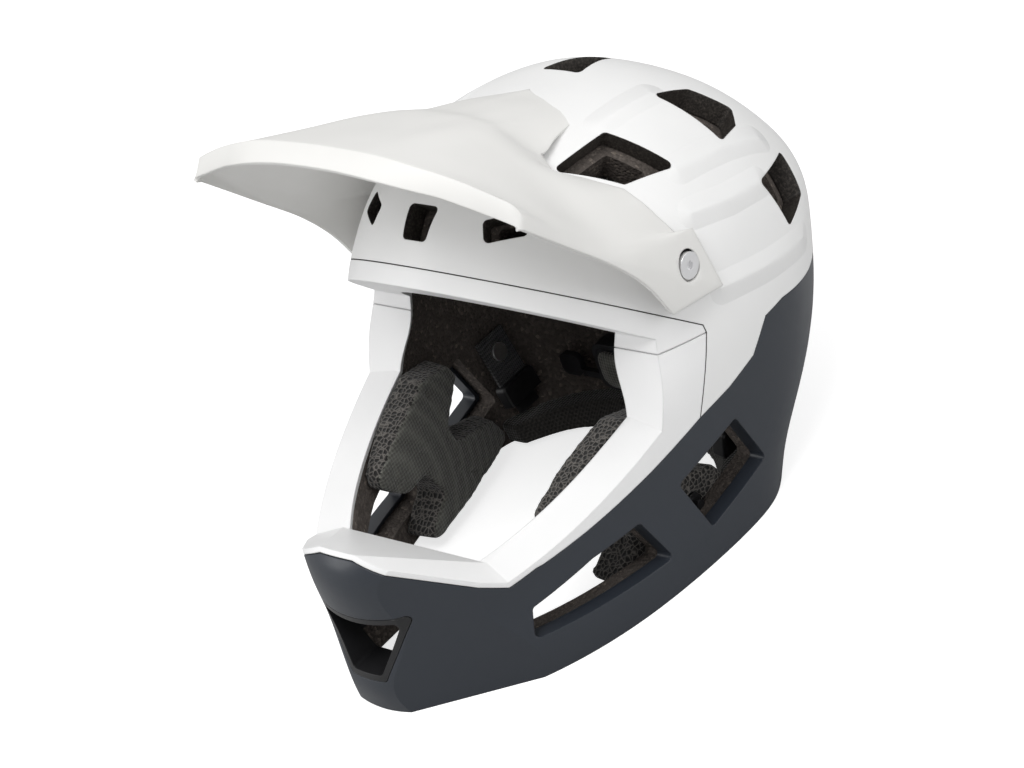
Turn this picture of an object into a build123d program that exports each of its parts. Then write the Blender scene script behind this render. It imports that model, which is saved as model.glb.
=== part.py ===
from build123d import *
import math
import os

# Full face bike helmet, standing on its bottom rim.
# +X is the wearer's left, +Y the back of the head, +Z up; the rim lies on z = 0.
# All lengths are in millimetres. Distances ahead of the middle are named positive
# and negated where they are used.

# Overall shell
half_width = 102.5
shell_height = 209.0
front_reach = 164.0
rear_reach = 165.5
front_fullness = 2.0
rear_fullness = 2.15
skin = 2.6
bond_gap = 0.3
seam_gap = 0.5
overrun = 40.0

# Each level of the shell: height, half width, middle, front, rear.
level_shares = (
    (-0.060, 0.938, 0.022, -1.000, 0.450),
    (0.000, 0.951, 0.043, -1.000, 0.532),
    (0.124, 0.966, 0.124, -0.997, 0.686),
    (0.249, 0.980, 0.230, -0.982, 0.864),
    (0.373, 0.995, 0.278, -0.976, 0.952),
    (0.498, 1.000, 0.314, -0.738, 1.000),
    (0.622, 0.976, 0.311, -0.488, 0.979),
    (0.746, 0.902, 0.275, -0.436, 0.879),
    (0.852, 0.761, 0.239, -0.332, 0.755),
    (0.919, 0.605, 0.218, -0.256, 0.647),
    (0.962, 0.420, 0.211, -0.152, 0.544),
    (0.986, 0.244, 0.211, -0.018, 0.411),
    (0.998, 0.088, 0.211, 0.134, 0.290),
)
points_per_quarter = 4

# Prow of the chin
prow_turn = 49.0
prow_distance = 133.0
chin_crest_y = 153.0
chin_crest_z = 86.0
chin_crest_half = 12.0
chin_corner_x = 63.0
chin_corner_y = 117.0
chin_corner_z = 54.0

# Face port, seen from the side: column, cheek and brow edges
column_top_y = 8.0
column_top_z = 119.0
column_foot_y = 25.0
column_foot_z = 84.0
cheek_rear_x = 77.0
cheek_front_x = 47.0
port_floor_y = 112.0
port_floor_z = 58.0
brow_front_y = 61.0
brow_front_z = 170.0
frame_wall = 2.6

# Seams of the face frame and of the brow strip, seen from the side
brow_seam_front_y = 55.0
brow_seam_front_z = 177.5
rear_seam_y = 16.0
rear_seam_top_z = 112.0
rear_seam_notch_z = 108.0
rear_seam_foot_y = 4.0
rear_seam_foot_z = 73.0
cheek_seam_rear_y = 38.0
cheek_seam_rear_z = 66.0
cheek_seam_mid_y = 78.0
cheek_seam_mid_z = 58.5
cheek_seam_front_y = 101.0
cheek_seam_front_z = 54.5

# Border between the white crown and the dark lower shell, seen from the side
border_foot_y = 18.0
border_foot_z = 75.5
border_step_y = 38.0
border_step_z = 80.0
border_shoulder_y = 53.0
border_shoulder_z = 92.5
border_flat_y = 68.0
border_fall_y = 101.0
border_fall_z = 85.0
border_rear_z = 73.0

# Foam liner and its cavity
liner_side = 20.0
liner_top = 25.0
liner_front = 24.0
liner_rear = 26.0
liner_split_y = 40.0
liner_split_z = 70.0
rim_lift = 2.0

# Side vents of the lower shell, seen from the side
rear_vent_top_y = 16.0
rear_vent_top_z = 59.0
rear_vent_low_y = 28.0
rear_vent_low_z = 27.0
rear_vent_front_y = 27.0
rear_vent_front_z = 50.0
rear_vent_foot_y = 17.0
rear_vent_foot_z = 18.0
front_vent_back_y = 53.0
front_vent_back_z = 46.0
front_vent_foot_y = 43.0
front_vent_foot_z = 19.0
front_vent_tip_y = 117.0
front_vent_tip_z = 21.0
front_vent_nose_y = 112.0
front_vent_nose_z = 36.0
front_vent_top_y = 80.0
front_vent_top_z = 44.0
vent_round = 2.5
vent_lip_wall = 2.0
vent_lip_depth = 9.0

# Chin vent
chin_vent_top_half = 31.0
chin_vent_low_half = 11.0
chin_vent_top_z = 53.0
chin_vent_low_z = 19.0
chin_insert_wall = 3.0
chin_insert_depth = 30.0
chin_insert_gap = 0.3

# Crown vents: corners as shares of half width, rear reach and shell height
crown_vent_shares = (
    ((0.44, 0.03, 0.93), (0.49, 0.24, 0.93), (0.78, 0.30, 0.84), (0.71, 0.13, 0.87)),
    ((0.48, 0.48, 0.92), (0.48, 0.62, 0.87), (0.60, 0.70, 0.79), (0.70, 0.62, 0.78), (0.76, 0.51, 0.80)),
    ((0.74, 0.74, 0.66), (0.89, 0.53, 0.69), (0.94, 0.56, 0.56), (0.83, 0.71, 0.56)),
    ((0.33, -0.21, 0.94), (0.48, -0.13, 0.93), (0.50, -0.15, 0.87), (0.34, -0.22, 0.87)),
)
middle_vent_shares = (
    ((-0.12, 0.44, 0.97), (0.12, 0.44, 0.97), (0.05, 0.62, 0.91), (-0.05, 0.62, 0.91)),
    ((-0.09, -0.22, 0.965), (0.09, -0.22, 0.965), (0.07, -0.29, 0.90), (-0.07, -0.29, 0.90)),
)
head_centre_y_share = 0.24
head_centre_z_share = 0.45
foam_vent_share = 0.62
vent_start_share = 0.55

# Visor: half sections from the middle to the edge, as shares of half width and shell
# height, each at a share of the rear reach
visor_section_shares = (
    (-0.453, ((0.000, 1.211), (0.290, 1.207), (0.560, 1.200), (0.760, 1.184), (0.828, 1.150), (0.850, 1.100))),
    (-0.320, ((0.000, 1.172), (0.290, 1.166), (0.566, 1.147), (0.780, 1.110), (0.878, 1.053), (0.917, 0.960))),
    (-0.150, ((0.000, 1.110), (0.290, 1.100), (0.566, 1.062), (0.780, 0.995), (0.888, 0.905), (0.940, 0.770))),
    (0.030, ((0.000, 1.056), (0.290, 1.038), (0.540, 0.975), (0.745, 0.875), (0.890, 0.745), (0.972, 0.590))),
    (0.160, ((0.000, 1.034), (0.290, 1.020), (0.560, 0.962), (0.780, 0.865), (0.930, 0.725), (1.012, 0.575))),
    (0.310, ((0.000, 1.030), (0.290, 1.016), (0.560, 0.960), (0.790, 0.862), (0.945, 0.722), (1.030, 0.570))),
)
visor_skin = 2.8
visor_clearance = 1.2
visor_front_low_y = 84.0
visor_front_low_z = 238.0
visor_edge_shares = (
    (-0.205, 0.871),
    (-0.115, 0.794),
    (-0.018, 0.627),
    (0.193, 0.589),
    (0.157, 0.766),
    (0.085, 0.789),
    (0.133, 0.828),
    (0.127, 0.866),
    (0.060, 0.919),
    (0.018, 0.947),
    (0.042, 0.985),
)
visor_tongue_shares = ((0.40, 0.020), (0.33, 0.230), (0.20, 0.272), (0.0, 0.284))
fascia_drop = 10.0
fascia_lean = 5.5
fascia_skin = 5.0

# Visor pivot
pivot_y = 17.0
pivot_z = 145.0
seat_x = 94.6
seat_radius = 9.5
seat_depth = 7.0
washer_thick = 1.0
washer_radius = 9.0
running_gap = 0.05
visor_boss_wall = 3.5
visor_boss_radius = 13.0
visor_boss_depth = 4.0
visor_sweep_shares = (0.0, 1.0)
visor_cup_radius = 10.6
screw_head_radius = 6.5
screw_head_height = 2.6
screw_shoulder_radius = 4.0
screw_thread_radius = 2.5
screw_thread_length = 8.0
hex_across = 4.0
hex_depth = 1.8
insert_radius = 4.5
insert_length = 9.0
visor_down_travel = 12.0

# Cheek pad outline, seen from the side
cheek_outline = (
    (-27.0, 84.0),
    (-4.0, 77.0),
    (0.0, 67.0),
    (-20.0, 52.0),
    (-19.0, 42.0),
    (13.0, 30.0),
    (22.0, 14.0),
    (18.0, 9.0),
    (-48.0, 5.0),
    (-57.0, 5.0),
    (-65.0, 12.0),
    (-44.0, 25.0),
    (-51.0, 41.0),
    (-62.0, 40.0),
    (-69.0, 42.0),
    (-82.0, 55.0),
    (-81.0, 64.0),
    (-57.0, 75.0),
)
cheek_round = 2.5
cheek_crown_radius = 350.0
cheek_lean = 10.4
cheek_apex_x = 54.5
cheek_apex_y = 30.0
cheek_apex_z = 42.0
cheek_channels = (((-30.0, 90.0), (-24.0, 40.0)), ((-30.0, 32.0), (0.0, 0.0)), ((-66.0, 70.0), (-74.0, 30.0)))
cheek_draw = 2.6
cheek_back_x = 84.0
cheek_face_x = 44.0
pad_gap = 0.3
channel_wide = 2.4
channel_deep = 2.0
stud_radius = 5.0
stud_length = 4.0
stud_neck_radius = 2.5
stud_places = ((77.0, -14.0, 66.0), (66.0, -62.0, 56.0), (78.0, -6.0, 20.0))

# Crown, brow and nape pads
crown_pad_thick = 8.0
crown_pad_half = 26.0
crown_pad_middle = 36.0
crown_pad_front = 24.0
crown_pad_rear = 104.0
crown_pad_low = 118.0
crown_channels = (4.0, 40.0, 76.0)
brow_pad_near = 5.0
brow_pad_far = 25.0
brow_pad_low = 124.0
nape_pad_thick = 12.0
nape_pad_low = 3.0
nape_pad_top = 14.0
nape_pad_front = 26.0

# Fit cradle
cradle_half = 30.0
cradle_front = 60.0
cradle_rear = 70.0
cradle_rise = 14.0
cradle_corner = 6.0
cover_thick = 2.0
lid_half = 27.0
lid_rise = 11.7
lid_round = 4.0
window_places = (-14.0, 14.0)
window_wide = 7.0
window_tall = 6.0
dial_z = 36.0
gear_teeth = 12
gear_module = 1.0
gear_tip_share = 0.9
gear_root_share = 1.25
tooth_share = 0.36
tooth_tip_share = 0.2
gear_wide = 3.4
gear_gap = 0.3
rack_back = 3.6
rack_teeth = 8
rack_end_inner = 8.0
arm_start = 44.5
arm_end = 58.0
arm_half = 6.5
arm_round = 4.0
arm_drop = 4.0
band_gap = 0.25
knob_radius = 14.0
knob_dish_radius = 30.0
knob_dish_deep = 2.5
knob_thick = 10.0
knob_gap = 0.6
knob_ribs = 18
knob_rib_radius = 1.3
shaft_radius = 3.0
shaft_key_half = 2.0
cover_screw_x = 22.0
cover_screw_radius = 1.5
cover_screw_head = 2.6
cover_screw_head_thick = 1.2
cover_screw_length = 6.0
fit_pad_thick = 4.0
fit_pad_half = 12.0
fit_pad_rise = 11.0
fit_pad_middle = 14.0
fit_pad_crown = 45.0
fit_pad_draw = 6.0

# Rail the cradle slides on
rail_half = 7.0
rail_thick = 3.0
rail_y = 80.0
rail_z = 66.0
rail_angle = 45.0
rail_up = 74.0
rail_down = 15.0
rail_gap = 0.25
lug_half = 11.0
lug_long = 14.0
lug_thick = 7.0
neck_y = 69.0
neck_z = 57.0
neck_deep = 14.0
neck_tall = 18.0
anchor_half = 15.0
anchor_long = 18.0
anchor_thick = 6.0

# Chin strap, stowed behind the rear of the cheek pads
strap_half = 10.0
strap_thick = 1.8
strap_middle_y = 40.0
strap_top_x = 79.0
strap_top_z = 60.0
strap_low_x = 70.5
strap_low_z = 30.0
strap_tuck = 6.0
buckle_half = 12.0
buckle_thick = 8.0
buckle_long = 17.0
buckle_round = 3.0
tongue_half = 7.0
tongue_thick = 2.4
tongue_long = 10.0
anchor_pin_radius = 5.0
anchor_pin_thick = 1.6
anchor_pin_length = 10.0
anchor_shank_radius = 2.5


def level_face(level, side_trim, top_trim, front_trim, rear_trim):
    """One horizontal slice of the shell, drawn in by the trims."""
    height, width, middle, front, rear = level
    z = height * (shell_height - top_trim)
    half = width * (half_width - side_trim)
    mid_y = middle * rear_reach
    front_y = front * front_reach + front_trim
    rear_y = rear * rear_reach - rear_trim
    mid_y = min(max(mid_y, front_y + half / 4), rear_y - half / 4)
    quarter = math.pi / 2
    points = []
    for step in range(4 * points_per_quarter):
        turn = quarter * step / points_per_quarter
        along, across = math.cos(turn), math.sin(turn)
        fullness = front_fullness if along > 0 else rear_fullness
        reach = mid_y - front_y if along > 0 else rear_y - mid_y
        x = half * math.copysign(abs(across) ** (2 / fullness), across)
        y = mid_y - reach * math.copysign(abs(along) ** (2 / fullness), along)
        points.append(Vector(x, y, z))
    steps = len(points)
    return make_face(Edge.make_spline(points, periodic=True, parameters=[i / steps for i in range(steps + 1)]))


def dome(side_trim=0.0, top_trim=0.0, front_trim=0.0, rear_trim=0.0):
    """The shell's outer form, or a smaller one inside it."""
    trims = (side_trim, top_trim, front_trim, rear_trim)
    return loft([level_face(level, *trims) for level in level_shares])


def hollow_form(inset):
    """The liner's cavity, drawn in evenly."""
    return dome(liner_side + inset, liner_top + inset, liner_front + inset, liner_rear + inset)


def block_beyond(points, toward, grow=0.0):
    """A block filling the side of the plane through three points that holds a fourth."""
    first, second, third = (Vector(*point) for point in points)
    normal = (second - first).cross(third - first).normalized()
    if normal.dot(Vector(*toward) - first) < 0:
        normal = normal * -1
    size = 6 * half_width
    plane = Plane(origin=first - normal * grow, z_dir=normal)
    return extrude(plane * Rectangle(size, size), amount=size)


def edge_block(first, second, toward, grow=0.0):
    """The same for a line seen from the side, given as two (y, z) points."""
    points = ((0, *first), (0, *second), (half_width, *first))
    return block_beyond(points, toward, grow)


def both_sides(shape):
    """The shape and its mirror image on the other side of the head."""
    return shape + mirror(shape, about=Plane.YZ)


def mirrored(shape):
    """The shape's mirror image on the other side of the head."""
    return mirror(shape, about=Plane.YZ)


def prow_cut(inset):
    """What lies ahead of the two flat flanks of the chin."""
    turn = math.radians(prow_turn)
    distance = prow_distance - inset
    size = 6 * half_width
    blocks = []
    for side in (-1, 1):
        normal = Vector(side * math.cos(turn), -math.sin(turn), 0)
        plane = Plane(origin=normal * distance, z_dir=normal)
        blocks.append(extrude(plane * Rectangle(size, size), amount=size))
    return blocks[0] + blocks[1]


def form(inset):
    """The helmet's outer form, drawn in evenly and cut off at the rim."""
    shape = dome(inset, inset, inset, inset) - prow_cut(inset)
    return shape - below(0)


def below(z):
    """Everything under a height."""
    size = 6 * half_width
    return Pos(0, 0, z - size / 2) * Box(size, size, size)


def above(z):
    """Everything over a height."""
    size = 6 * half_width
    return Pos(0, 0, z + size / 2) * Box(size, size, size)


def ahead(y):
    """Everything in front of a distance from the middle."""
    size = 6 * half_width
    return Pos(0, y - size / 2, 0) * Box(size, size, size)


def port(grow=0.0):
    """The face port, with its walls moved out by a growth."""
    inside = (0, -port_floor_y, column_top_z)
    floor = (-port_floor_y, port_floor_z)
    crest = (-chin_crest_y, chin_crest_z)
    foot = (-column_foot_y, column_foot_z)
    top = (-column_top_y, column_top_z)
    brow = (-brow_front_y, brow_front_z)
    chin = edge_block(floor, crest, inside, grow)
    cheek = edge_block(foot, floor, inside, grow)
    for side in (-1, 1):
        corner = (side * chin_corner_x, -chin_corner_y, chin_corner_z)
        low = (side * cheek_front_x, -port_floor_y, port_floor_z)
        peak = (side * chin_crest_half, -chin_crest_y, chin_crest_z)
        high = (side * cheek_rear_x, *foot)
        chin += block_beyond((peak, corner, low), inside, grow)
        cheek += block_beyond((high, low, corner), inside, grow)
    column = edge_block(top, foot, inside, grow)
    lintel = edge_block(top, brow, inside, grow)
    return chin & cheek & column & lintel


def side_prism(outline, round_by=0.0):
    """A cut right across the helmet, drawn as (y, z) seen from the side."""
    face = make_face(Plane.YZ * Polyline(*outline, close=True))
    if round_by:
        face = fillet(face.vertices(), round_by)
    return extrude(face, amount=half_width + overrun, both=True)


def grown(outline, growth):
    """The same outline with every edge moved out."""
    count = len(outline)
    area = sum(
        outline[i][0] * outline[(i + 1) % count][1] - outline[(i + 1) % count][0] * outline[i][1]
        for i in range(count)
    )
    side = math.copysign(1, area)
    lines = []
    for i in range(count):
        start, end = outline[i], outline[(i + 1) % count]
        run, rise = end[0] - start[0], end[1] - start[1]
        length = math.hypot(run, rise)
        out_x, out_y = side * rise / length, -side * run / length
        lines.append((out_x, out_y, out_x * start[0] + out_y * start[1] + growth))
    corners = []
    for i in range(count):
        (a, b, c), (d, e, f) = lines[i - 1], lines[i]
        cross = a * e - b * d
        corners.append(((c * e - b * f) / cross, (a * f - c * d) / cross))
    return corners


def band_cut(path, width):
    """A narrow cut right across the helmet along a path of (y, z) points."""
    cuts = []
    half = width / 2
    for start, end in zip(path, path[1:]):
        length = math.dist(start, end)
        turn = math.degrees(math.atan2(end[1] - start[1], end[0] - start[0]))
        middle = ((start[0] + end[0]) / 2, (start[1] + end[1]) / 2)
        strip = Pos(*middle) * Rot(0, 0, turn) * Rectangle(length + 2 * half, width)
        cuts.append(extrude(Plane.YZ * strip, amount=half_width + overrun, both=True))
    return together(cuts)


def head_prism(corner_shares, growth=0.0, scale_by=1.0):
    """A prism pointing out of the head through corners given as shares of the shell."""
    centre = Vector(0, head_centre_y_share * rear_reach, head_centre_z_share * shell_height)
    corners = [Vector(x * half_width, y * rear_reach, z * shell_height) for x, y, z in corner_shares]
    middle = corners[0]
    for corner in corners[1:]:
        middle = middle + corner
    middle = middle * (1 / len(corners))
    ray = middle - centre
    axis = ray.normalized()
    plane = Plane(origin=middle, x_dir=Vector(0, 1, 0).cross(axis), z_dir=axis)
    flat = [plane.to_local_coords(centre + (c - centre) * (ray.length / (c - centre).dot(axis))) for c in corners]
    outline = [(point.X * scale_by, point.Y * scale_by) for point in flat]
    if growth:
        outline = grown(outline, growth)
    face = make_face(Polyline(*outline, close=True))
    face = fillet(face.vertices(), vent_round)
    start = plane.offset(-ray.length * (1 - vent_start_share))
    return extrude(start * face, amount=ray.length)


def disc(radius, start_x, end_x, y=pivot_y, z=pivot_z):
    """A cylinder along X between two places."""
    return extrude(Plane.YZ.offset(start_x) * Pos(y, z) * Circle(radius), amount=end_x - start_x)


def visor_face(row, inset=0.0):
    """One crosswise section of the visor's outer side, closed far below."""
    place, half_points = row
    y = place * rear_reach
    points = [(x * half_width, z * shell_height) for x, z in half_points]
    if inset:
        points = [inner_point(points, index, inset) for index in range(len(points))]
    left = [(-x, z) for x, z in reversed(points[1:])]
    path = [Vector(x, y, z) for x, z in left + points]
    steps = len(path) - 1
    top = Edge.make_spline(path, parameters=[i / steps for i in range(steps + 1)])
    base = Edge.make_line(path[-1], path[0])
    return make_face([top, base])


def inner_point(points, index, inset):
    """The point of a half section moved square to it, towards the head."""
    before = points[max(index - 1, 0)]
    after = points[min(index + 1, len(points) - 1)]
    run, rise = after[0] - before[0], after[1] - before[1]
    length = math.hypot(run, rise)
    if index == 0:
        return (points[0][0], points[0][1] - inset)
    return (points[index][0] + rise / length * inset, points[index][1] - run / length * inset)


def together(shapes):
    """Several shapes joined into one."""
    joined = shapes[0]
    for shape in shapes[1:]:
        joined += shape
    return joined


def largest(shape):
    """The biggest solid of a shape."""
    return max(shape.solids(), key=lambda solid: solid.volume)


def group(shapes):
    """Separate solids kept together as one node."""
    solids = []
    for shape in shapes:
        solids.extend(shape.solids())
    return Compound(children=solids)


nodes = {}

# Nested forms
outer = form(0)
inner = form(skin)
lip_inner = form(vent_lip_depth)
lip_foam = form(vent_lip_depth + bond_gap)
foam_outer = form(skin + bond_gap)
hollow = hollow_form(0) - ahead(-port_floor_y)
port_open = port()
port_lined = port(frame_wall)
port_foam = port(frame_wall + bond_gap)
port_lower = port(frame_wall + seam_gap)

# Seams and zones
far = front_reach + overrun
border_path = [
    (-chin_corner_y, chin_corner_z),
    (-cheek_seam_front_y, cheek_seam_front_z),
    (-cheek_seam_mid_y, cheek_seam_mid_z),
    (-cheek_seam_rear_y, cheek_seam_rear_z),
    (-rear_seam_foot_y, rear_seam_foot_z),
    (border_foot_y, border_foot_z),
    (border_step_y, border_step_z),
    (border_shoulder_y, border_shoulder_z),
    (border_flat_y, border_shoulder_z),
    (border_fall_y, border_fall_z),
    (far, border_rear_z),
]
lower_zone = side_prism(
    [(-chin_corner_y, chin_crest_z + overrun)]
    + border_path
    + [(far, -overrun), (-far, -overrun), (-far, chin_crest_z + overrun)]
)
brow_slope = (brow_seam_front_z - rear_seam_top_z) / (brow_seam_front_y + rear_seam_y)
brow_path = [
    (-brow_seam_front_y - overrun, brow_seam_front_z + overrun * brow_slope),
    (rear_seam_y, rear_seam_top_z),
    (rear_seam_y, rear_seam_notch_z),
    (-rear_seam_foot_y, rear_seam_foot_z),
]
strip_path = [(-column_top_y - overrun, column_top_z), (rear_seam_y, rear_seam_notch_z)]

# Vents
rear_side_vent = [
    (rear_vent_top_y, rear_vent_top_z),
    (rear_vent_low_y, rear_vent_low_z),
    (-rear_vent_foot_y, rear_vent_foot_z),
    (-rear_vent_front_y, rear_vent_front_z),
]
front_side_vent = [
    (-front_vent_back_y, front_vent_back_z),
    (-front_vent_foot_y, front_vent_foot_z),
    (-front_vent_tip_y, front_vent_tip_z),
    (-front_vent_nose_y, front_vent_nose_z),
    (-front_vent_top_y, front_vent_top_z),
]
chin_vent = [
    (-chin_vent_top_half, chin_vent_top_z),
    (chin_vent_top_half, chin_vent_top_z),
    (chin_vent_low_half, chin_vent_low_z),
    (-chin_vent_low_half, chin_vent_low_z),
]


def chin_prism(growth=0.0):
    """The chin vent's keystone cut, pointing forwards."""
    outline = grown(chin_vent, growth) if growth else chin_vent
    face = make_face(Polyline(*outline, close=True))
    face = fillet(face.vertices(), vent_round)
    return Pos(0, -port_floor_y + overrun, 0) * Rot(90, 0, 0) * extrude(face, amount=far)


side_open = side_prism(rear_side_vent, vent_round) + side_prism(front_side_vent, vent_round)
side_lip = side_prism(grown(rear_side_vent, vent_lip_wall), vent_round)
side_lip += side_prism(grown(front_side_vent, vent_lip_wall), vent_round)
crown_open = []
crown_lip = []
foam_lip = []
foam_open = []
for shares in crown_vent_shares:
    crown_open.append(both_sides(head_prism(shares)))
    crown_lip.append(both_sides(head_prism(shares, vent_lip_wall)))
    foam_lip.append(both_sides(head_prism(shares, vent_lip_wall + bond_gap)))
    foam_open.append(both_sides(head_prism(shares, 0.0, foam_vent_share)))
for shares in middle_vent_shares:
    crown_open.append(head_prism(shares))
    crown_lip.append(head_prism(shares, vent_lip_wall))
    foam_lip.append(head_prism(shares, vent_lip_wall + bond_gap))
    foam_open.append(head_prism(shares, 0.0, foam_vent_share))

# Shells
wall = outer - inner
flange = (port_lined - port_open) & (outer - hollow)
lower = (wall & lower_zone) - (port_lower + chin_prism(chin_insert_gap))
lower_lip = (side_lip & outer) - lip_inner
lower = largest((lower + (lower_lip & lower_zone)) - side_open)
white = (wall - (lower_zone + band_cut(border_path, seam_gap))) + flange
white = white - together([port_open, band_cut(brow_path, seam_gap), band_cut(strip_path, seam_gap)])
white_parts = sorted(white.solids(), key=lambda solid: -solid.volume)
upper = white_parts[0]
trims = sorted(white_parts[1:3], key=lambda solid: solid.center().Z)
face_frame, brow_strip = trims
upper = (upper + ((together(crown_lip) & outer) - lip_inner)) - together(crown_open)
seat = disc(seat_radius, seat_x - seat_depth, seat_x)
seat_bore = disc(insert_radius, seat_x - insert_length - seat_depth, seat_x)
spot_face = disc(seat_radius, seat_x, seat_x + overrun)
upper = largest(upper) + both_sides(seat)
upper = upper - both_sides(seat_bore + spot_face)
nodes["lower_shell"] = lower
nodes["upper_shell"] = upper
nodes["face_frame"] = face_frame
nodes["brow_strip"] = brow_strip

# Chin vent insert
insert_ring = chin_prism() - chin_prism(-chin_insert_wall)
insert_zone = outer - Pos(0, chin_insert_depth, 0) * outer
nodes["chin_vent_insert"] = largest(insert_ring & insert_zone & ahead(-port_floor_y))

# Cheek pads
cheek_slices = []
for x, inset in ((cheek_back_x, 0.0), (cheek_face_x, -cheek_draw)):
    corners = grown(cheek_outline, inset)
    slice_face = make_face(Plane.YZ.offset(x) * Polyline(*corners, close=True))
    cheek_slices.append(fillet(slice_face.vertices(), cheek_round))
lean = math.radians(cheek_lean)
crown_centre = Vector(
    cheek_apex_x + cheek_crown_radius * math.cos(lean),
    -cheek_apex_y - cheek_crown_radius * math.sin(lean),
    cheek_apex_z,
)
pillow = Pos(crown_centre) * Sphere(cheek_crown_radius)
groove_floor = Pos(crown_centre) * Sphere(cheek_crown_radius - channel_deep)
cheek_block = loft(cheek_slices, ruled=True)
cheek_pad = cheek_block & hollow_form(pad_gap) & pillow
for path in cheek_channels:
    cheek_pad = cheek_pad - (band_cut(path, channel_wide) - groove_floor)
stud_cuts = [disc(stud_radius + pad_gap, x - stud_length, x + stud_length, y, z) for x, y, z in stud_places]
cheek_pad = largest(cheek_pad - together(stud_cuts))
nodes["cheek_pad_left"] = cheek_pad
nodes["cheek_pad_right"] = mirrored(cheek_pad)
studs = [disc(stud_radius, x - stud_length + pad_gap, x, y, z) for x, y, z in stud_places]
necks = [disc(stud_neck_radius, x, x + stud_length, y, z) for x, y, z in stud_places]
pegs = [stud + neck for stud, neck in zip(studs, necks)]
nodes["cheek_pad_studs"] = group(pegs + [mirrored(peg) for peg in pegs])

# Brow, crown and nape pads
pad_room = hollow_form(pad_gap)
lining = pad_room - hollow_form(crown_pad_thick)
inside_port = (0, -port_floor_y, column_top_z)
brow_line = ((-column_top_y, column_top_z), (-brow_front_y, brow_front_z))
brow_pad = lining & edge_block(*brow_line, inside_port, brow_pad_far)
brow_pad = brow_pad - edge_block(*brow_line, inside_port, brow_pad_near) - below(brow_pad_low)
nodes["brow_pad"] = largest(brow_pad)
crown_shape = SlotOverall(crown_pad_rear + crown_pad_front, 2 * crown_pad_half, rotation=90)
crown_middle = (crown_pad_rear - crown_pad_front) / 2
crown_block = extrude(Pos(crown_pad_middle, crown_middle, shell_height) * crown_shape, amount=-shell_height / 2)
crown_pad = (lining & crown_block) - edge_block(*brow_line, inside_port, brow_pad_far + crown_pad_thick)
for y in crown_channels:
    trench = Pos(crown_pad_middle, y, shell_height) * Box(4 * crown_pad_half, channel_wide, 2 * shell_height)
    crown_pad = crown_pad - (trench & hollow_form(crown_pad_thick - channel_deep))
crown_pad = largest(crown_pad - below(crown_pad_low))
nodes["crown_pad_left"] = crown_pad
nodes["crown_pad_right"] = mirrored(crown_pad)
nape = pad_room - hollow_form(nape_pad_thick) - below(nape_pad_low) - above(nape_pad_top) - ahead(nape_pad_front)
nodes["nape_pad"] = largest(nape)

# Visor
raw = loft([visor_face(row) for row in visor_section_shares])
raw = raw - loft([visor_face(row, visor_skin) for row in visor_section_shares])
front_row = visor_section_shares[0]
brim = (visor_face(front_row) - visor_face(front_row, fascia_skin)).faces()
fascia = together([extrude(face, amount=fascia_drop, dir=(0, -fascia_lean, -fascia_drop)) for face in brim])
edge = [(-visor_front_low_y, visor_front_low_z)]
edge += [(y * rear_reach, z * shell_height) for y, z in visor_edge_shares]
sky = shell_height + 2 * overrun
side_keep = side_prism(edge + [(edge[-1][0], sky), (-visor_front_low_y, sky)])
tongue = [(x * half_width, y * rear_reach) for x, y in visor_tongue_shares]
tongue = [(tongue[0][0], -overrun / 2)] + tongue
tongue += [(-x, y) for x, y in reversed(tongue[:-1])]
tongue_keep = extrude(Pos(0, 0, shell_height / 2) * make_face(Polyline(*tongue, close=True)), amount=shell_height)
visor = (raw + fascia) & (side_keep + tongue_keep)
boss_inner = seat_x + washer_thick + running_gap
boss_outer = boss_inner + visor_boss_wall
cup = disc(visor_boss_radius, boss_inner - visor_boss_depth, boss_outer)
visor = visor + both_sides(cup)
visor = visor - both_sides(disc(visor_cup_radius, 0, boss_inner))
visor = visor - both_sides(disc(visor_cup_radius, boss_outer, half_width + overrun))
visor = visor - both_sides(disc(screw_shoulder_radius + running_gap, 0, half_width + overrun))
room = dome(-visor_clearance, -visor_clearance, -visor_clearance, -visor_clearance)
pivot = Pos(0, pivot_y, pivot_z)
for step in visor_sweep_shares:
    visor = visor - pivot * Rot(-step * visor_down_travel, 0, 0) * pivot.inverse() * room
visor = largest(visor)
nodes["visor"] = visor

# Visor screws, washers and threaded inserts
head_x = boss_outer + running_gap
screw = disc(screw_head_radius, head_x, head_x + screw_head_height)
screw = screw + disc(screw_shoulder_radius, seat_x, head_x)
screw = screw + disc(screw_thread_radius, seat_x - screw_thread_length, seat_x)
socket = Plane.YZ.offset(head_x + screw_head_height - hex_depth) * Pos(pivot_y, pivot_z)
socket = socket * RegularPolygon(hex_across / 2, 6, major_radius=False)
screw = screw - extrude(socket, amount=hex_depth)
nodes["visor_screws"] = group([screw, mirrored(screw)])
washer = disc(washer_radius, seat_x, seat_x + washer_thick)
washer = washer - disc(screw_shoulder_radius, seat_x, seat_x + washer_thick)
nodes["friction_washers"] = group([washer, mirrored(washer)])
insert = disc(insert_radius, seat_x - insert_length, seat_x)
insert = insert - disc(screw_thread_radius, seat_x - insert_length, seat_x)
nodes["visor_inserts"] = group([insert, mirrored(insert)])

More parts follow.
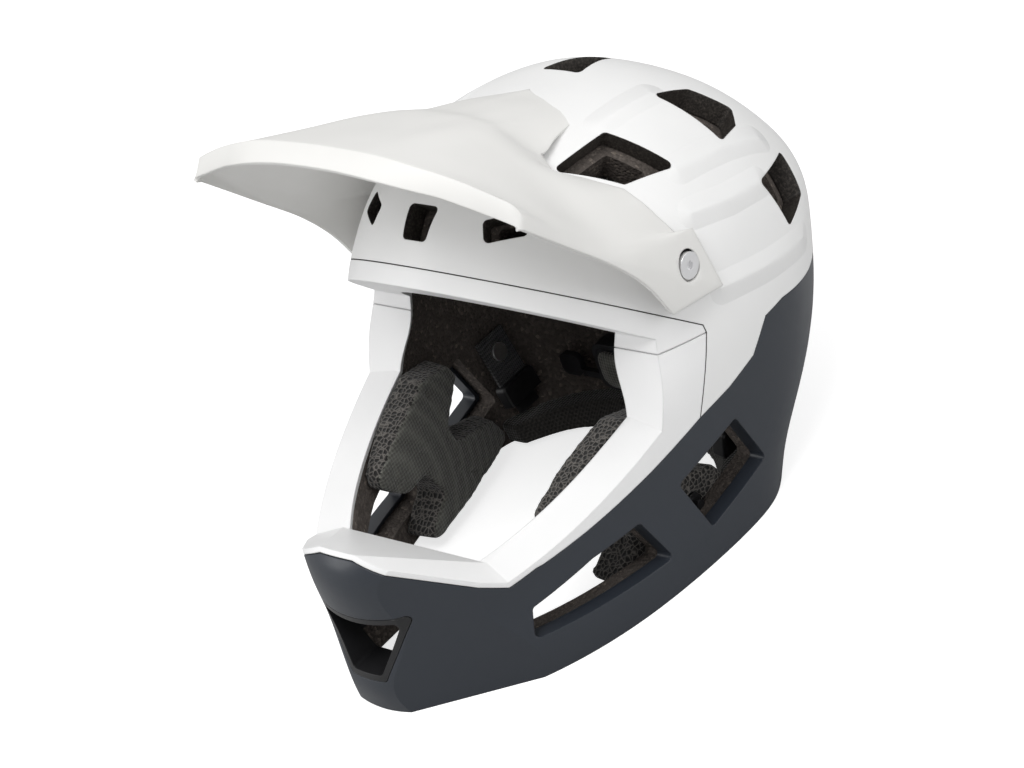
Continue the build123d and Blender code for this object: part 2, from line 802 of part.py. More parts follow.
# Chin strap, anchors and buckle
strap_mid_x = (strap_top_x + strap_low_x) / 2
strap_mid_z = (strap_top_z + strap_low_z) / 2
strap_length = math.hypot(strap_top_x - strap_low_x, strap_top_z - strap_low_z)
strap_lean = math.degrees(math.atan2(strap_top_x - strap_low_x, strap_top_z - strap_low_z))
strap_place = Pos(strap_mid_x, strap_middle_y, strap_mid_z) * Rot(0, strap_lean, 0)
pin_place = Pos(0, 0, strap_length / 2 - strap_half)
pin_head = Pos(-strap_thick / 2 - anchor_pin_thick / 2, 0, 0) * Rot(0, 90, 0)
pin_head = pin_head * Cylinder(anchor_pin_radius, anchor_pin_thick)
pin_shank_place = Pos(anchor_pin_length / 2 - strap_thick / 2, 0, 0) * Rot(0, 90, 0)
pin = pin_place * (pin_head + pin_shank_place * Cylinder(anchor_shank_radius, anchor_pin_length))
ribbon = Box(strap_thick, 2 * strap_half, strap_length)
hole = pin_place * pin_shank_place * Cylinder(anchor_shank_radius, 2 * anchor_pin_length)
strap = strap_place * (ribbon - hole)
nodes["strap_left"] = strap
nodes["strap_right"] = mirrored(strap)
pin = strap_place * pin
nodes["strap_anchors"] = group([pin, mirrored(pin)])
buckle_place = strap_place * Pos(0, 0, strap_tuck - strap_length / 2 - buckle_long / 2)
body = Box(buckle_thick, 2 * buckle_half, buckle_long)
body = fillet(body.edges().filter_by(Axis.X), buckle_round)
body = fillet(body.edges().filter_by(Axis.Y), buckle_round / 2)
tuck = Pos(0, 0, buckle_long - strap_tuck) * Box(strap_thick, 2 * strap_half, buckle_long)
mouth = Pos(0, 0, -buckle_long + tongue_long)
mouth = mouth * Box(tongue_thick + 2 * pad_gap, 2 * (tongue_half + pad_gap), buckle_long)
button = Pos(-buckle_thick / 2, 0, 0) * Rot(0, 90, 0) * Cylinder(tongue_half / 2, tongue_thick)
nodes["buckle_socket"] = buckle_place * (body - tuck - mouth + button)
prong = Pos(0, 0, -tongue_long / 2) * Box(tongue_thick, 2 * tongue_half, tongue_long)
plate_cut = Pos(0, 0, -buckle_long + tongue_long / 2) * Box(buckle_thick, 2 * buckle_half, buckle_long)
tongue_part = (body - tuck - plate_cut) + prong
nodes["buckle_tongue"] = mirrored(buckle_place * tongue_part)

# Fit cradle: dial, pinion and the two bands it draws in
pitch = math.pi * gear_module
pitch_radius = gear_module * gear_teeth / 2
tip = gear_tip_share * gear_module
root = gear_root_share * gear_module
gear_front = cradle_front + cover_thick + band_gap
gear_back = gear_front + gear_wide


def along_y(face, start_y, end_y):
    """A face drawn in (x, height over the dial) carried from one depth to another."""
    flat = Pos(0, start_y, dial_z) * Rot(90, 0, 0) * face
    return extrude(flat, amount=end_y - start_y, dir=(0, 1, 0))


def tooth(base, reach):
    """A tooth pointing along +Y of its own plane, from a base height."""
    low, high = tooth_share * pitch / 2, tooth_tip_share * pitch / 2
    points = ((-low, base - root), (low, base - root), (high, base + reach), (-high, base + reach))
    return make_face(Polyline(*points, close=True))


gear = Circle(pitch_radius - root)
for number in range(gear_teeth):
    gear = gear + Rot(0, 0, number * 360 / gear_teeth) * tooth(pitch_radius - root, root + tip)
pinion = along_y(gear, gear_front, gear_back)
pinion = pinion + along_y(Circle(shaft_radius), gear_front, cradle_rear + knob_gap)
key = Rectangle(2 * shaft_key_half, 2 * shaft_radius) & Circle(shaft_radius)
knob_start = cradle_rear + knob_gap
pinion = pinion + along_y(key, knob_start, knob_start + knob_thick / 2)
nodes["dial_pinion"] = pinion
knob_face = Circle(knob_radius)
for number in range(knob_ribs):
    turn = Rot(0, 0, number * 360 / knob_ribs)
    knob_face = knob_face + turn * Pos(knob_radius, 0) * Circle(knob_rib_radius)
knob = along_y(knob_face, knob_start, knob_start + knob_thick)
dish = Pos(0, knob_start + knob_thick + knob_dish_radius - knob_dish_deep, dial_z) * Sphere(knob_dish_radius)
knob = knob - dish - along_y(key, knob_start, knob_start + knob_thick / 2)
nodes["dial_knob"] = knob

rack_line = pitch_radius + root
bar_height = rack_back
bar = Pos((arm_start - rack_end_inner) / 2, rack_line + bar_height / 2)
rack = bar * Rectangle(arm_start + rack_end_inner, bar_height)
for number in range(rack_teeth):
    centre = (number - 2 + 1 / 2) * pitch
    rack = rack + Pos(centre, 2 * pitch_radius) * Rot(0, 0, 180) * tooth(pitch_radius, tip)
arm = RectangleRounded(arm_end - arm_start, 2 * arm_half, arm_round)
rack = rack + Pos((arm_end + arm_start) / 2, rack_line + bar_height / 2 - arm_drop) * arm
left_band = along_y(rack, gear_front, gear_back)
turn_over = Pos(0, 0, dial_z) * Rot(0, 180, 0) * Pos(0, 0, -dial_z)
nodes["band_left"] = left_band
nodes["band_right"] = turn_over * left_band

case = along_y(RectangleRounded(2 * cradle_half, 2 * cradle_rise, cradle_corner), cradle_front, cradle_rear)
slot_height = tip + root + rack_back + 2 * band_gap
slot_middle = pitch_radius - tip - band_gap + slot_height / 2
slot_face = Pos(0, slot_middle) * Rectangle(4 * cradle_half, slot_height)
slot_face = slot_face + Pos(0, -slot_middle) * Rectangle(4 * cradle_half, slot_height)
slot_face = slot_face + Circle(pitch_radius + tip + gear_gap)
case = case - along_y(slot_face, cradle_front + cover_thick, gear_back + band_gap)
lid_face = RectangleRounded(2 * lid_half, 2 * lid_rise, lid_round)
case = case - along_y(offset(lid_face, amount=band_gap), cradle_front, cradle_front + cover_thick)
case = case - along_y(Circle(shaft_radius + running_gap), cradle_front, cradle_rear)
screw_spots = [Pos(-cover_screw_x, 0), Pos(cover_screw_x, 0)]
shanks = [along_y(s * Circle(cover_screw_radius), cradle_front, cradle_front + cover_screw_length) for s in screw_spots]
heads = [along_y(s * Circle(cover_screw_head), cradle_front, cradle_front + cover_screw_head_thick) for s in screw_spots]
case = case - together(shanks)
rail_place = Pos(0, rail_y, rail_z) * Rot(-rail_angle, 0, 0)
lug = rail_place * Box(2 * lug_half, lug_thick, lug_long)
neck = Pos(0, neck_y, neck_z) * Box(2 * lug_half, neck_deep, neck_tall)
case = case + (neck - rail_place * Pos(0, lug_thick, 0) * Box(4 * lug_half, lug_thick, 4 * lug_long)) + lug
slide_cut = rail_place * Box(2 * (rail_half + rail_gap), rail_thick + 2 * rail_gap, 4 * lug_long)
case = case - (slide_cut - below(dial_z + cradle_rise))
for x in window_places:
    case = case - along_y(Pos(x, 0) * Rectangle(window_wide, window_tall), cradle_front, cradle_rear)
nodes["cradle_housing"] = largest(case)
lid = along_y(lid_face, cradle_front, cradle_front + cover_thick) - together(shanks) - together(heads)
nodes["cradle_cover"] = lid
nodes["cradle_screws"] = group([(head + shank) for head, shank in zip(heads, shanks)])
cushion_face = RectangleRounded(2 * fit_pad_half, 2 * fit_pad_rise, cradle_corner)
cushions = []
for side in (-1, 1):
    block = Pos(side * fit_pad_middle, cradle_front - pad_gap, dial_z) * Rot(90, 0, 0) * cushion_face
    block = extrude(block, amount=fit_pad_thick, taper=fit_pad_draw)
    ball = Pos(side * fit_pad_middle, cradle_front - pad_gap - fit_pad_thick + fit_pad_crown, dial_z)
    cushions.append(block & (ball * Sphere(fit_pad_crown)))
nodes["fit_pads"] = group(cushions)

# Rail of the cradle, anchored in the foam
bar_long = rail_up + rail_down
rail = rail_place * Pos(0, 0, (rail_up - rail_down) / 2) * Box(2 * rail_half, rail_thick, bar_long)
anchor = rail_place * Pos(0, 0, rail_up) * Box(2 * anchor_half, anchor_thick, anchor_long)
nodes["cradle_rail"] = largest((rail + anchor) & pad_room)

# Foam liners
side_foam = side_prism(grown(rear_side_vent, vent_lip_wall + bond_gap), vent_round)
side_foam += side_prism(grown(front_side_vent, vent_lip_wall + bond_gap), vent_round)
foam = foam_outer - hollow - (port_foam + chin_prism(chin_insert_gap) + below(rim_lift)) - side_foam
foam = foam - ((together(foam_lip) & outer) - lip_foam) - together(foam_open)
sockets = [disc(seat_radius + bond_gap, seat_x - seat_depth - insert_length, far)]
sockets += [disc(stud_neck_radius, x - stud_length, x + stud_length, y, z) for x, y, z in stud_places]
sockets += [disc(stud_radius + pad_gap, x - stud_length, x, y, z) for x, y, z in stud_places]
sockets += [strap_place * hole]
buckle_room = Box(buckle_thick + 2 * pad_gap, 2 * (buckle_half + pad_gap), buckle_long + 2 * pad_gap)
sockets += [buckle_place * buckle_room]
foam = foam - both_sides(together(sockets))
crown_zone = above(liner_split_z) - ahead(-liner_split_y)
jaw_zone = above(liner_split_z - bond_gap) - ahead(-liner_split_y - bond_gap)
nodes["crown_liner"] = largest(foam & crown_zone)
nodes["jaw_liner"] = largest(foam - jaw_zone)

os.makedirs("parts", exist_ok=True)
for name, shape in nodes.items():
    export_step(shape, f"parts/{name}.step")
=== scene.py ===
import bpy
import bmesh
import math
from mathutils import Matrix, Vector


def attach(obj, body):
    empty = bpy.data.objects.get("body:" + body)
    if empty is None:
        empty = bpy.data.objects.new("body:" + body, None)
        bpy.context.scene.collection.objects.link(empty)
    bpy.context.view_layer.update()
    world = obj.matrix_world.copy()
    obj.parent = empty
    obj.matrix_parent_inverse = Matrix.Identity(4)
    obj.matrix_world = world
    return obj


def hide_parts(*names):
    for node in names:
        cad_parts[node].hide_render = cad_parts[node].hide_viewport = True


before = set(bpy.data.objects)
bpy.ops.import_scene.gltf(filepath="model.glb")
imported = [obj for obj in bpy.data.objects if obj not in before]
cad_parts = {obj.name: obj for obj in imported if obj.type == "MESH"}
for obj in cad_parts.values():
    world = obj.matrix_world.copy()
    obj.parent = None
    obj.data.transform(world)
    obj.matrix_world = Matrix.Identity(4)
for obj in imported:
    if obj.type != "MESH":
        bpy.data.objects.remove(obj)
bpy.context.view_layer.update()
MM = 0.001


# Materials

def new_material(name, color, roughness, specular=0.5, coat=0.0, coat_roughness=0.1, sheen=0.0, metallic=0.0):
    """A principled material with plain values on its sockets."""
    material = bpy.data.materials.new(name)
    material.use_nodes = True
    shader = material.node_tree.nodes["Principled BSDF"]
    shader.inputs["Base Color"].default_value = (*color, 1)
    shader.inputs["Roughness"].default_value = roughness
    shader.inputs["Specular IOR Level"].default_value = specular
    shader.inputs["Coat Weight"].default_value = coat
    shader.inputs["Coat Roughness"].default_value = coat_roughness
    shader.inputs["Sheen Weight"].default_value = sheen
    shader.inputs["Metallic"].default_value = metallic
    return material, material.node_tree, shader


def object_coords(tree):
    """Object coordinates, in metres."""
    return tree.nodes.new("ShaderNodeTexCoord").outputs["Object"]


def noise(tree, coords, scale, detail=2.0, roughness=0.5):
    """A noise texture's factor."""
    node = tree.nodes.new("ShaderNodeTexNoise")
    node.inputs["Scale"].default_value = scale
    node.inputs["Detail"].default_value = detail
    node.inputs["Roughness"].default_value = roughness
    tree.links.new(coords, node.inputs["Vector"])
    return node.outputs["Fac"]


def ramp(tree, factor, stops):
    """A colour ramp over a factor; stops are (place, colour)."""
    node = tree.nodes.new("ShaderNodeValToRGB")
    elements = node.color_ramp.elements
    while len(elements) < len(stops):
        elements.new(0.5)
    for element, (place, color) in zip(elements, stops):
        element.position = place
        element.color = (*color, 1)
    tree.links.new(factor, node.inputs["Fac"])
    return node.outputs["Color"]


def bump(tree, shader, height, strength, distance):
    """Bump from a height, on the shader's normal, added to any bump before it."""
    node = tree.nodes.new("ShaderNodeBump")
    node.inputs["Strength"].default_value = strength
    node.inputs["Distance"].default_value = distance
    before = shader.inputs["Normal"].links
    if before:
        tree.links.new(before[0].from_socket, node.inputs["Normal"])
    tree.links.new(height, node.inputs["Height"])
    tree.links.new(node.outputs["Normal"], shader.inputs["Normal"])


def rounded_edges(tree, shader, radius):
    """Softens the edges that catch the light."""
    node = tree.nodes.new("ShaderNodeBevel")
    node.samples = 4
    node.inputs["Radius"].default_value = radius
    tree.links.new(node.outputs["Normal"], shader.inputs["Normal"])


def shade(color, factor):
    """A colour made lighter or darker."""
    return tuple(channel * factor for channel in color)


def paint(name, color, roughness, coat=0.0, specular=0.45, grain=0.012):
    """Satin or matte paint on a moulded shell, slightly uneven, with soft edges."""
    material, tree, shader = new_material(name, color, roughness, specular, coat, 0.3)
    coords = object_coords(tree)
    rounded_edges(tree, shader, 0.0009)
    clouds = noise(tree, coords, 14, 3)
    tone = ramp(tree, clouds, ((0.35, shade(color, 0.975)), (0.65, shade(color, 1.02))))
    tree.links.new(tone, shader.inputs["Base Color"])
    patch = tree.nodes.new("ShaderNodeMapRange")
    patch.inputs["To Min"].default_value = roughness - 0.04
    patch.inputs["To Max"].default_value = roughness + 0.05
    tree.links.new(noise(tree, coords, 60, 4), patch.inputs["Value"])
    tree.links.new(patch.outputs["Result"], shader.inputs["Roughness"])
    bump(tree, shader, noise(tree, coords, 2600, 1), grain, 0.0002)
    return material


def folded(tree, coords):
    """Object coordinates with both sides of the object folded onto one."""
    apart = tree.nodes.new("ShaderNodeSeparateXYZ")
    tree.links.new(coords, apart.inputs["Vector"])
    side = tree.nodes.new("ShaderNodeMath")
    side.operation = "ABSOLUTE"
    tree.links.new(apart.outputs["X"], side.inputs[0])
    whole = tree.nodes.new("ShaderNodeCombineXYZ")
    tree.links.new(side.outputs["Value"], whole.inputs["X"])
    tree.links.new(apart.outputs["Y"], whole.inputs["Y"])
    tree.links.new(apart.outputs["Z"], whole.inputs["Z"])
    return whole.outputs["Vector"]


def vector_math(tree, operation, first, second=None):
    """One step of vector arithmetic; inputs are sockets or plain vectors."""
    node = tree.nodes.new("ShaderNodeVectorMath")
    node.operation = operation
    for socket, value in zip(node.inputs, (first, second)):
        if value is None:
            continue
        if isinstance(value, (tuple, Vector)):
            socket.default_value = value
        else:
            tree.links.new(value, socket)
    return node.outputs["Value" if operation in ("DOT_PRODUCT", "LENGTH") else "Vector"]


def plain_math(tree, operation, first, second=0.0, clamp=False):
    """One step of arithmetic; inputs are sockets or numbers."""
    node = tree.nodes.new("ShaderNodeMath")
    node.operation = operation
    node.use_clamp = clamp
    for socket, value in zip(node.inputs, (first, second)):
        if isinstance(value, (int, float)):
            socket.default_value = value
        else:
            tree.links.new(value, socket)
    return node.outputs["Value"]


def ridge(tree, coords, start, end, width):
    """A height of 1 on the line from start to end, falling to 0 a width away."""
    start = Vector(start)
    run = Vector(end) - start
    offset = vector_math(tree, "SUBTRACT", coords, start)
    reach = vector_math(tree, "DOT_PRODUCT", offset, run)
    share = plain_math(tree, "DIVIDE", reach, run.length_squared, clamp=True)
    along = tree.nodes.new("ShaderNodeVectorMath")
    along.operation = "SCALE"
    along.inputs[0].default_value = run
    tree.links.new(share, along.inputs["Scale"])
    away = vector_math(tree, "LENGTH", vector_math(tree, "SUBTRACT", offset, along.outputs["Vector"]))
    return plain_math(tree, "SUBTRACT", 1.0, plain_math(tree, "DIVIDE", away, width), clamp=True)


def creased(material, lines, width, strength):
    """Moulded creases along lines of points, the same on both sides."""
    tree = material.node_tree
    shader = tree.nodes["Principled BSDF"]
    coords = folded(tree, object_coords(tree))
    height = 0.0
    for line in lines:
        for start, end in zip(line, line[1:]):
            height = plain_math(tree, "MAXIMUM", ridge(tree, coords, start, end, width), height)
    bump(tree, shader, height, strength, 0.0025)


def painted_vent_shade(material, centre, wall_shade_color, speck_color):
    """Darkens the walls of the vents where they turn away from the outside: painted shade inside the vents,
    with specks like the foam behind them.
    """
    tree = material.node_tree
    shader = tree.nodes["Principled BSDF"]
    outward = vector_math(tree, "NORMALIZE", vector_math(tree, "SUBTRACT", object_coords(tree), centre))
    normal = tree.nodes.new("ShaderNodeNewGeometry").outputs["True Normal"]
    facing = vector_math(tree, "DOT_PRODUCT", normal, outward)
    # painted shade: full where the surface turns away from the outside, none where it faces out
    vent_shade_mask = tree.nodes.new("ShaderNodeMapRange")
    vent_shade_mask.inputs["From Min"].default_value = 0.30
    vent_shade_mask.inputs["From Max"].default_value = 0.45
    tree.links.new(facing, vent_shade_mask.inputs["Value"])
    mix = tree.nodes.new("ShaderNodeMix")
    mix.data_type = "RGBA"
    specks = noise(tree, object_coords(tree), 900, 3, 0.7)
    tree.links.new(ramp(tree, specks, ((0.45, wall_shade_color), (0.68, speck_color))), mix.inputs["A"])
    tree.links.new(vent_shade_mask.outputs["Result"], mix.inputs["Factor"])
    tree.links.new(shader.inputs["Base Color"].links[0].from_socket, mix.inputs["B"])
    tree.links.new(mix.outputs["Result"], shader.inputs["Base Color"])


def bead_foam(name, color, light):
    """Moulded bead foam: cells with dark joints, some lighter beads."""
    material, tree, shader = new_material(name, color, 0.88, 0.25)
    coords = object_coords(tree)
    cells = tree.nodes.new("ShaderNodeTexVoronoi")
    cells.inputs["Scale"].default_value = 620
    tree.links.new(coords, cells.inputs["Vector"])
    speck = tree.nodes.new("ShaderNodeSeparateColor")
    tree.links.new(cells.outputs["Color"], speck.inputs["Color"])
    stops = ((0.0, shade(color, 0.8)), (0.7, color), (0.93, shade(color, 1.3)), (1.0, light))
    tone = ramp(tree, speck.outputs["Red"], stops)
    tree.links.new(tone, shader.inputs["Base Color"])
    hollow = tree.nodes.new("ShaderNodeMath")
    hollow.operation = "MULTIPLY"
    hollow.inputs[1].default_value = -1
    tree.links.new(cells.outputs["Distance"], hollow.inputs[0])
    bump(tree, shader, hollow.outputs["Value"], 0.55, 0.0012)
    bump(tree, shader, noise(tree, coords, 1500, 3), 0.3, 0.0004)
    return material


def knit(name, color, light, scale):
    """Knit fabric with a grid of small dimples, on the cloth's own plane."""
    material, tree, shader = new_material(name, color, 0.78, 0.3, sheen=0.35)
    coords = object_coords(tree)
    cells = tree.nodes.new("ShaderNodeTexVoronoi")
    cells.inputs["Scale"].default_value = scale
    cells.inputs["Randomness"].default_value = 0.12
    tree.links.new(coords, cells.inputs["Vector"])
    tone = ramp(tree, cells.outputs["Distance"], ((0.1, shade(color, 0.55)), (0.45, color), (0.75, light)))
    tree.links.new(tone, shader.inputs["Base Color"])
    bump(tree, shader, cells.outputs["Distance"], 0.8, 0.0009)
    bump(tree, shader, noise(tree, coords, 1800, 2), 0.25, 0.0003)
    return material


def spacer_mesh(name, color, light):
    """Open spacer mesh: dark pits between light threads."""
    material, tree, shader = new_material(name, color, 0.85, 0.25, sheen=0.2)
    coords = object_coords(tree)
    cells = tree.nodes.new("ShaderNodeTexVoronoi")
    cells.feature = "DISTANCE_TO_EDGE"
    cells.inputs["Scale"].default_value = 400
    cells.inputs["Randomness"].default_value = 0.7
    tree.links.new(coords, cells.inputs["Vector"])
    tone = ramp(tree, cells.outputs["Distance"], ((0.02, light), (0.09, shade(light, 0.3)), (0.2, color)))
    tree.links.new(tone, shader.inputs["Base Color"])
    turned = tree.nodes.new("ShaderNodeMath")
    turned.operation = "MULTIPLY"
    turned.inputs[1].default_value = -1
    tree.links.new(cells.outputs["Distance"], turned.inputs[0])
    bump(tree, shader, turned.outputs["Value"], 0.9, 0.0015)
    return material


def moulded(name, color, roughness):
    """Fine grained moulded plastic."""
    material, tree, shader = new_material(name, color, roughness, 0.45)
    coords = object_coords(tree)
    rounded_edges(tree, shader, 0.0005)
    tone = ramp(tree, noise(tree, coords, 90, 3), ((0.3, shade(color, 0.85)), (0.7, shade(color, 1.2))))
    tree.links.new(tone, shader.inputs["Base Color"])
    bump(tree, shader, noise(tree, coords, 3000, 2), 0.12, 0.0002)
    return material


def plated(name, color, roughness):
    """Bright plated metal with faint turning marks."""
    material, tree, shader = new_material(name, color, roughness, 0.5, metallic=1.0)
    coords = object_coords(tree)
    rounded_edges(tree, shader, 0.0004)
    bump(tree, shader, noise(tree, coords, 900, 2), 0.05, 0.0002)
    return material


def webbing(name, color, light):
    """Woven webbing: ribs along and across the strap."""
    material, tree, shader = new_material(name, color, 0.8, 0.3, sheen=0.3)
    coords = object_coords(tree)
    wave = tree.nodes.new("ShaderNodeTexWave")
    wave.inputs["Scale"].default_value = 260
    wave.inputs["Distortion"].default_value = 0.4
    wave.bands_direction = "Y"
    tree.links.new(coords, wave.inputs["Vector"])
    cross = tree.nodes.new("ShaderNodeTexWave")
    cross.inputs["Scale"].default_value = 160
    cross.bands_direction = "Z"
    tree.links.new(coords, cross.inputs["Vector"])
    both = tree.nodes.new("ShaderNodeMath")
    both.operation = "ADD"
    tree.links.new(wave.outputs["Fac"], both.inputs[0])
    tree.links.new(cross.outputs["Fac"], both.inputs[1])
    tone = ramp(tree, both.outputs["Value"], ((0.2, color), (0.9, light)))
    tree.links.new(tone, shader.inputs["Base Color"])
    bump(tree, shader, both.outputs["Value"], 0.6, 0.0005)
    return material


white_shell = paint("white shell", (0.83, 0.83, 0.825), 0.46)
shell_creases = (
    ((0.080, 0.049, 0.174), (0.080, 0.081, 0.166), (0.075, 0.111, 0.151)),
    ((0.091, 0.039, 0.158), (0.093, 0.062, 0.151), (0.090, 0.087, 0.144)),
    ((0.100, 0.034, 0.121), (0.101, 0.065, 0.113), (0.094, 0.102, 0.104)),
    ((0.048, 0.043, 0.201), (0.048, 0.080, 0.194)),
)
creased(white_shell, shell_creases, 0.008, 0.8)
# painted shade on the walls of the crown's vents, speckled like the foam behind them
painted_vent_shade(white_shell, (0, 0.03, 0.08), (0.022, 0.019, 0.017), (0.085, 0.075, 0.066))
white_trim = paint("white trim", (0.85, 0.85, 0.85), 0.42)
slate_shell = paint("slate shell", (0.022, 0.027, 0.036), 0.36, specular=0.5, grain=0.02)
pale_visor = paint("pale visor", (0.77, 0.765, 0.745), 0.5)
satin_black = moulded("satin black", (0.010, 0.010, 0.011), 0.38)
cradle_black = moulded("cradle black", (0.012, 0.012, 0.014), 0.45)
grip_black = moulded("grip black", (0.02, 0.02, 0.021), 0.7)
dark_foam = bead_foam("bead foam", (0.105, 0.090, 0.080), (0.20, 0.17, 0.145))
pad_knit = knit("pad knit", (0.078, 0.077, 0.067), (0.150, 0.150, 0.132), 560)
pad_dark = knit("dark knit", (0.026, 0.024, 0.021), (0.05, 0.046, 0.041), 640)
pad_mesh = spacer_mesh("pad mesh", (0.008, 0.0075, 0.007), (0.13, 0.12, 0.11))
bright_bolt = plated("bright bolt", (0.92, 0.92, 0.93), 0.3)
plain_brass = plated("plain brass", (0.72, 0.55, 0.28), 0.35)
black_web = webbing("black webbing", (0.012, 0.012, 0.013), (0.05, 0.05, 0.052))

finishes = {
    "upper_shell": white_shell,
    "lower_shell": slate_shell,
    "face_frame": white_trim,
    "brow_strip": white_trim,
    "chin_vent_insert": satin_black,
    "crown_liner": dark_foam,
    "jaw_liner": dark_foam,
    "cheek_pad_studs": satin_black,
    "visor": pale_visor,
    "visor_screws": bright_bolt,
    "friction_washers": grip_black,
    "visor_inserts": plain_brass,
    "strap_anchors": bright_bolt,
    "buckle_socket": satin_black,
    "buckle_tongue": satin_black,
    "cradle_rail": cradle_black,
    "cradle_housing": cradle_black,
    "cradle_cover": cradle_black,
    "cradle_screws": bright_bolt,
    "dial_knob": grip_black,
    "dial_pinion": cradle_black,
    "band_left": cradle_black,
    "band_right": cradle_black,
}
for node, finish in finishes.items():
    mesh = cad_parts[node].data
    mesh.materials.clear()
    mesh.materials.append(finish)


# Visor: rows of points from its middle to its outer edge, in millimetres, from the low front
# rim over the upper rim to the rear edge, and the rest of the tongue behind them
visor_rim = (
    (0, -89.5, 254.4), (16, -89.4, 254), (31, -89.1, 252.4), (44, -87.8, 249.6), (56.6, -84.7, 245.3),
    (68, -81, 240.8), (80, -78.4, 235.8), (88, -76.8, 232.2), (95, -75.6, 229.3), (100, -74.9, 227.2),
    (102.6, -74.5, 226), (104, -74.3, 224.6),
)
visor_rows = (
    (
        (0, -78.8, 258.8), (16, -78.8, 258.4), (31, -78.6, 257.5), (44, -78.4, 256), (56, -77.2, 252.8),
        (67, -75, 248.9), (78, -73.2, 244.7), (86, -72.2, 241.3), (93.5, -71, 237.8), (99.5, -70, 234.4),
        (102.6, -69.6, 229.5), (103.9, -71.8, 222.6),
    ),
    (
        (0, -54, 249.5), (16, -54, 249.3), (31, -54, 248.8), (44, -54, 245.8), (58, -52.5, 240),
        (71, -50.5, 232), (82, -48.5, 223.5), (91, -47.5, 215.5), (97, -47.8, 209.5), (100.3, -48.5, 205.5),
        (102.2, -49.5, 202.5), (103, -51, 200.4),
    ),
    (
        (0, -28, 239.8), (16, -28, 239.5), (31, -28, 238.8), (44.5, -28, 233), (59, -27, 223.5),
        (72, -26, 212.5), (83, -25, 202), (90.5, -24.5, 193.5), (96, -24.5, 187), (99.7, -25.5, 181.5),
        (101.8, -26.5, 177.6), (102.4, -28, 175.2),
    ),
    (
        (0, -10, 233), (16, -10, 232.7), (31, -10, 230), (44.5, -11.5, 223), (56.5, -12, 214.5),
        (68, -10, 206), (80, -4, 193.5), (87.5, -3, 184.5), (94.8, -1.5, 173.5), (98.8, 2, 166),
        (101.6, -2, 157), (102.3, -12.5, 153.5),
    ),
    (
        (0, 3, 226.5), (16, 3, 225.8), (31, 2, 222.5), (44, 5.3, 206), (53, 0.7, 200.6),
        (64, 5.2, 196.1), (77, 16.5, 184), (84.5, 17.7, 176.8), (94, 22.1, 158.8), (97.5, 30.1, 156.6),
        (103.5, 31.7, 124.5), (101.5, -2.1, 130.6),
    ),
)
visor_tongue = (
    ((0, 27, 217.5), (16, 27, 216), (29, 24, 212.5), (40, 22, 204.8)),
    ((0, 51.2, 208.4), (14, 46.7, 207.2), (27, 41.6, 205), (36, 38.4, 202.2)),
)
visor_wall = 2.2
bolt_place = (17, 145)
bolt_floor = 98.9
bolt_pocket = 7.6
boss_radius = 9
boss_bore = 4.2
boss_start = 95.75
needle = 0.01
pocket_reach = 12
ring_steps = 48
across_steps = 6
along_steps = 10
crease_angle = math.radians(32)
bevel_angle = math.radians(40)
edge_round = 0.0005
seam_gap = 0.00005


def spread(points, steps, smooth):
    """Points at even steps through a line of points, on a smooth curve or on straight runs."""
    points = [Vector(point) for point in points]
    ends = [2 * points[0] - points[1]] + points + [2 * points[-1] - points[-2]]
    found = []
    for a, b, c, d in zip(ends, ends[1:], ends[2:], ends[3:]):
        for step in range(steps):
            t = step / steps
            if smooth:
                bend = (c - a) * t + (2 * a - 5 * b + 4 * c - d) * t**2 + (3 * b - a - 3 * c + d) * t**3
                found.append(b + bend / 2)
            else:
                found.append(b.lerp(c, t))
    return found + [points[-1]]


def tube(form, low, high, radius, bore):
    """Adds a ring round the bolt's axis to a form, on both sides."""
    for side in (-1, 1):
        rings = []
        for x, size in ((low, radius), (high, radius), (high, bore), (low, bore)):
            ring = []
            for step in range(ring_steps):
                turn = 2 * math.pi * step / ring_steps
                y = bolt_place[0] + size * math.cos(turn)
                z = bolt_place[1] + size * math.sin(turn)
                ring.append(form.verts.new((side * x * MM, y * MM, z * MM)))
            rings.append(ring)
        for first, second in zip(rings, rings[1:] + rings[:1]):
            for step in range(ring_steps):
                after = (step + 1) % ring_steps
                corners = (first[step], first[after], second[after], second[step])
                form.faces.new(corners if side > 0 else corners[::-1])


def built(piece, name):
    """The piece with its modifiers made real."""
    bpy.context.view_layer.update()
    mesh = bpy.data.meshes.new_from_object(piece.evaluated_get(bpy.context.evaluated_depsgraph_get()))
    piece.modifiers.clear()
    piece.data = mesh
    mesh.name = name
    return piece


def new_piece(name, form, finish):
    """An object from a form, with its finish."""
    mesh = bpy.data.meshes.new(name)
    form.to_mesh(mesh)
    form.free()
    mesh.materials.append(finish)
    piece = bpy.data.objects.new(name, mesh)
    bpy.context.scene.collection.objects.link(piece)
    return piece


def visor_sheet():
    """The outer side of the visor, both halves."""
    wide = [spread(row, across_steps, row is not visor_rows[-1]) for row in visor_rows]
    rim = spread(visor_rim, across_steps, True)
    back = [spread(row, across_steps, row is not visor_tongue[-1]) for row in visor_tongue]
    columns = []
    for place, low in enumerate(rim):
        column = [row[place] for row in wide]
        kept = along_steps * (len(column) - 1) + 1
        if place < len(back[0]):
            column += [row[place] for row in back]
        column = [low, low.lerp(column[0], 0.5)] + spread(column, along_steps, True)
        columns.append(column if place < len(back[0]) else column[: kept + 2])
    form = bmesh.new()
    for side in (1, -1):
        grid = [[form.verts.new((side * p.x * MM, p.y * MM, p.z * MM)) for p in column] for column in columns]
        for first, second in zip(grid, grid[1:]):
            for place in range(min(len(first), len(second)) - 1):
                corners = (first[place], second[place], second[place + 1], first[place + 1])
                form.faces.new(corners if side > 0 else corners[::-1])
    bmesh.ops.remove_doubles(form, verts=form.verts, dist=seam_gap)
    return form


